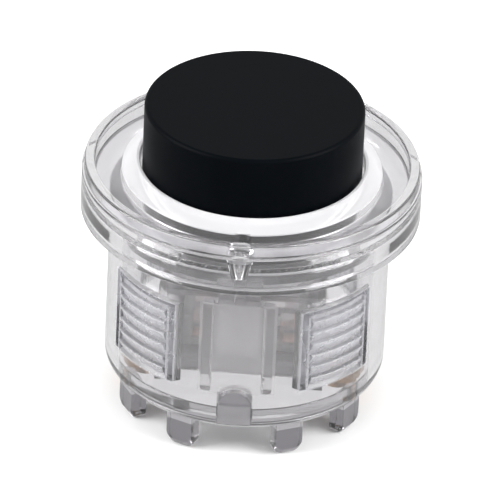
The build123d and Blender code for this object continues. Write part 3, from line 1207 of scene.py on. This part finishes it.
@dataclass
class Switch(Part):
    """The square switch module with its cover, contacts and terminals, sizes in millimetres."""

    cover_wall: float = 0.7
    cover_round: float = 0.8
    hub_hole: float = 3.0
    spring_radius: float = 1.05
    spring_wire: float = 0.175
    spring_turns: float = 9.0
    travel: float = 0.0024
    coil: Pattern = field(default_factory=coil_pattern)

    def cover(self) -> None:
        """Clear square cover with round corners."""
        low, high = (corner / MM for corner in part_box("switch_cover"))
        side = high.x - low.x
        shell = prism("clear_cover", rectangle(side, side, self.cover_round), low.z, high.z)
        soften(shell, 0.2, 3)
        inner = side - 2 * self.cover_wall
        hollow = prism("hollow", rectangle(inner, inner, 0.2), low.z - 1, high.z - self.cover_wall)
        combine(shell, hollow, Cut.TAKE)
        hole = turned(
            "hub_hole",
            [(0, high.z - 2), (self.hub_hole, high.z - 2), (self.hub_hole, high.z + 1), (0, high.z + 1)],
            64,
        )
        combine(shell, hole, Cut.TAKE)
        self.hand_over(shell, "switch_cover", Body.HOUSING, self.finishes.cover, "clear_cover")

    def spring(self) -> None:
        """Return spring of round wire."""
        low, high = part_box("return_spring")
        empty = in_scene("coil_spring", bpy.data.meshes.new("coil_spring"))
        wire = self.spring_wire * MM
        self.coil.grow(
            empty,
            {
                "Turns": self.spring_turns, "Radius": self.spring_radius * MM, "Wire": wire,
                "Height": high.z - low.z - 2 * wire, "Foot": low.z + wire, "Material": self.finishes.steel,
            },
        )
        piece = self.hand_over(empty, "return_spring", Body.HOUSING, self.finishes.steel, "spring_steel")
        height = high.z - low.z
        1 - self.travel / height
        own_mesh(piece)

    def rings(self) -> None:
        """Silicone damping rings."""
        for node, name, wall in (
            ("upper_damper", "upper_ring", 0.95),
            ("lower_damper", "lower_ring", 2.0),
        ):
            low, high = (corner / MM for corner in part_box(node))
            corners = [
                (high.x - wall, low.z, 0.08), (high.x, low.z, 0.08),
                (high.x, high.z, 0.08), (high.x - wall, high.z, 0.08),
            ]
            self.hand_over(
                turned(name, rounded(corners), 128), node, Body.HOUSING, self.finishes.silicone,
                "damper_silicone",
            )

    def dress(self, nodes: dict[str, Solid]) -> None:
        """Build the module's round pieces and finish its flat ones.

        Args:
            nodes: the CAD nodes by name.
        """
        self.cover()
        self.spring()
        self.rings()
        flat = {
            "switch_base": self.finishes.black_case,
            "contact_holder": self.finishes.natural,
            "terminal_left": self.finishes.brass,
            "terminal_right": self.finishes.brass,
            "terminal_rivets": self.finishes.brass,
            "contact_blade_left": self.finishes.copper,
            "contact_blade_right": self.finishes.copper,
            "contact_bridge": self.finishes.copper,
            "fixed_contact_left": self.finishes.silver,
            "fixed_contact_right": self.finishes.silver,
            "moving_contact_left": self.finishes.silver,
            "moving_contact_right": self.finishes.silver,
        }
        for node, material in flat.items():
            nodes[node].data.materials.clear()
            nodes[node].data.materials.append(material)


@dataclass
class Plunger(Part):
    """Black cap on its clear carrier, sizes in millimetres."""

    cap_wall: float = 1.0
    cap_roof: float = 1.2
    cap_edge: float = 0.35
    tube_wall: float = 0.8
    tube_radius: float = 8.1
    tube_top: float = 8.7
    flange_top: float = 0.55
    flange_bottom: float = -0.45
    flange_radius: float = 10.3
    hub_radius: float = 2.7
    hub_bottom: float = -6.95
    stem_radius: float = 1.9
    stem_seat: float = -2.0
    stem_wall: float = 0.45
    stem_ceiling: float = -2.8
    stem_head: float = 2.5
    stem_head_height: float = 0.6
    arm_half_width: float = 1.7
    arm_thickness: float = 1.0
    arm_bottom: float = -8.1
    arm_rib_width: float = 0.9
    arm_rib_depth: float = 0.6

    def cap(self) -> None:
        """Black cap, a shallow cup with a softly rounded top edge."""
        low, high = (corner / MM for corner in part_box("cap"))
        ceiling = high.z - self.cap_roof
        outline = rounded(
            [
                (0, ceiling, 0), (high.x - self.cap_wall, ceiling, 0.3),
                (high.x - self.cap_wall, low.z, 0.1), (high.x, low.z, 0.1),
                (high.x, high.z, self.cap_edge), (0, high.z, 0),
            ],
            closed=False,
        )
        self.hand_over(
            turned("black_cap", outline), "cap", Body.PLUNGER, self.finishes.black_cap, "black_cap"
        )

    def carrier(self) -> None:
        """Clear carrier: tube, flange, hub and two arms."""
        tube_inner = self.tube_radius - self.tube_wall
        outline = rounded(
            [
                (0, self.flange_top, 0), (tube_inner, self.flange_top, 0.2), (tube_inner, self.tube_top, 0.1),
                (self.tube_radius, self.tube_top, 0.1), (self.tube_radius, self.flange_top, 0.15),
                (self.flange_radius, self.flange_top, 0.1), (self.flange_radius, self.flange_bottom, 0.1),
                (self.hub_radius, self.flange_bottom, 0.2), (self.hub_radius, self.hub_bottom, 0.08),
                (self.stem_radius, self.hub_bottom, 0.05), (self.stem_radius, self.stem_seat, 0),
                (0, self.stem_seat, 0),
            ],
            closed=False,
        )
        body = turned("clear_carrier", outline)
        for end in (-1, 1):
            y = end * (self.flange_radius - self.arm_thickness / 2)
            arm = prism(
                "arm", rectangle(2 * self.arm_half_width, self.arm_thickness, 0.12, 0, y), self.arm_bottom, 0
            )
            soften(arm, 0.2, 3)
            combine(body, arm, Cut.ADD)
            y = end * (self.flange_radius - self.arm_thickness - self.arm_rib_depth / 2 + 0.1)
            stiffener = prism(
                "stiffener", rectangle(self.arm_rib_width, self.arm_rib_depth + 0.2, 0.1, 0, y),
                self.arm_bottom + 0.05, 0,
            )
            combine(body, stiffener, Cut.ADD)
        self.hand_over(body, "carrier", Body.PLUNGER, self.finishes.inner, "clear_plastic")

    def stem(self) -> None:
        """Pale hollow stem with a head under the contact bridge."""
        low, _ = (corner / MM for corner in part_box("stem"))
        head_top = low.z + self.stem_head_height
        inner = self.stem_radius - self.stem_wall
        outline = rounded(
            [
                (0, self.stem_seat, 0), (self.stem_radius, self.stem_seat, 0), (self.stem_radius, head_top, 0),
                (self.stem_head, head_top, 0.05), (self.stem_head, low.z, 0.1), (inner, low.z, 0.08),
                (inner, self.stem_ceiling, 0), (0, self.stem_ceiling, 0),
            ],
            closed=False,
        )
        self.hand_over(
            turned("pale_stem", outline, 96), "stem", Body.PLUNGER, self.finishes.natural, "natural_plastic"
        )

    def dress(self) -> None:
        """Build the plunger's pieces."""
        self.cap()
        self.carrier()
        self.stem()


# ---------------------------------------------------------------- studio


@dataclass
class Studio:
    """Pale floor, soft lamps and a long lens, lengths in metres and angles in degrees."""

    azimuth: float = 3.0
    elevation: float = 31.4
    roll: float = 2.6
    distance: float = 0.7
    focal: float = 600.0
    aim: tuple[float, float, float] = (0.00012, 0.0, -0.00426)
    sky: float = 0.9

    def camera(self) -> None:
        """Set the camera up."""
        data = bpy.data.cameras.new("camera")
        data.lens = self.focal
        data.sensor_width = 36.0
        data.clip_start = 0.01
        made = in_scene("camera", data)
        azimuth, elevation = math.radians(self.azimuth), math.radians(self.elevation)
        away = Vector(
            (math.sin(azimuth) * math.cos(elevation), -math.cos(azimuth) * math.cos(elevation),
             math.sin(elevation))
        )
        made.location = Vector(self.aim) + away * self.distance
        look = (-away).to_track_quat("-Z", "Y")
        made.rotation_mode = "QUATERNION"
        made.rotation_quaternion = look @ Matrix.Rotation(math.radians(self.roll), 3, "Z").to_quaternion()
        bpy.context.scene.camera = made

    def lamp(self, name: str, place: Sequence[float], size: Point, power: float) -> None:
        """Add one soft lamp that faces the button.

        Args:
            name: the lamp's name.
            place: where it hangs.
            size: its width and height.
            power: in watts.
        """
        data = bpy.data.lights.new(name, "AREA")
        data.shape = "RECTANGLE"
        data.size, data.size_y = size
        data.energy = power
        made = in_scene(name, data)
        made.location = place
        made.rotation_euler = (-Vector(place)).to_track_quat("-Z", "Y").to_euler()

    def floor(self) -> None:
        """Pale floor under the legs, shaded where the camera sees it, an even glowing white to rays that pass
        through or reflect off the clear plastic.
        """
        low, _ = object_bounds()
        mesh = bmesh.new()
        bmesh.ops.create_grid(mesh, x_segments=1, y_segments=1, size=1.5)
        bmesh.ops.translate(mesh, vec=(0, 0, low[2] - 0.00001), verts=mesh.verts)
        data = bpy.data.meshes.new("floor")
        mesh.to_mesh(data)
        mesh.free()
        made = in_scene("floor", data)
        material, graph, shader = new_material("pale_floor")
        dust = graph.noise(40.0, 3.0)
        graph.feed(shader.inputs["Base Color"], graph.mix(dust, (0.9, 0.9, 0.9), (0.92, 0.92, 0.92)))
        shader.inputs["Roughness"].default_value = 0.9
        shader.inputs["Specular IOR Level"].default_value = 0.0
        through = graph.node("ShaderNodeLightPath", output="Is Transmission Ray")
        mirrored = graph.node("ShaderNodeLightPath", output="Is Glossy Ray")
        glow = graph.node("ShaderNodeEmission", {}, {"Color": (1.0, 1.0, 1.0, 1.0), "Strength": 0.8})
        graph.blend(material, (through + mirrored).clipped(0.0, 1.0), shader.outputs["BSDF"], glow)
        data.materials.append(material)
        made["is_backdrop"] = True

    def world(self) -> None:
        """Even pale surroundings, white where the camera or clear plastic sees them."""
        world = bpy.data.worlds.new("surroundings")
        bpy.context.scene.world = world
        world.use_nodes = True
        graph = Graph(world.node_tree)
        back = world.node_tree.nodes["Background"]
        back.inputs["Color"].default_value = (1.0, 1.0, 1.0, 1.0)
        seen = graph.node("ShaderNodeLightPath", output="Is Camera Ray")
        graph.feed(back.inputs["Strength"], seen * (1.0 - self.sky) + self.sky)

    def build(self) -> None:
        """Set the whole studio up."""
        self.camera()
        self.floor()
        self.world()
        self.lamp("left_softbox", (-0.35, -0.1, 0.2), (0.25, 0.35), 2.0)
        self.lamp("right_softbox", (0.35, -0.1, 0.2), (0.25, 0.35), 2.0)
        bpy.context.scene.view_settings.view_transform = "Standard"


def main() -> None:
    """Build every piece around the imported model."""
    logging.basicConfig(level=logging.INFO, format="%(message)s")
    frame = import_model()
    finishes = Finishes()
    ring = ring_pattern()
    Housing(finishes, ring).dress()
    Base(finishes, ring).dress()
    press = next(j for j in frame["record"]["behaviour"]["joints"] if j["name"] == "press")
    Switch(finishes, ring, travel=-press["range_m"][0]).dress(frame["nodes"])
    Plunger(finishes, ring).dress()
    Studio().build()


if __name__ == "__main__":
    main()
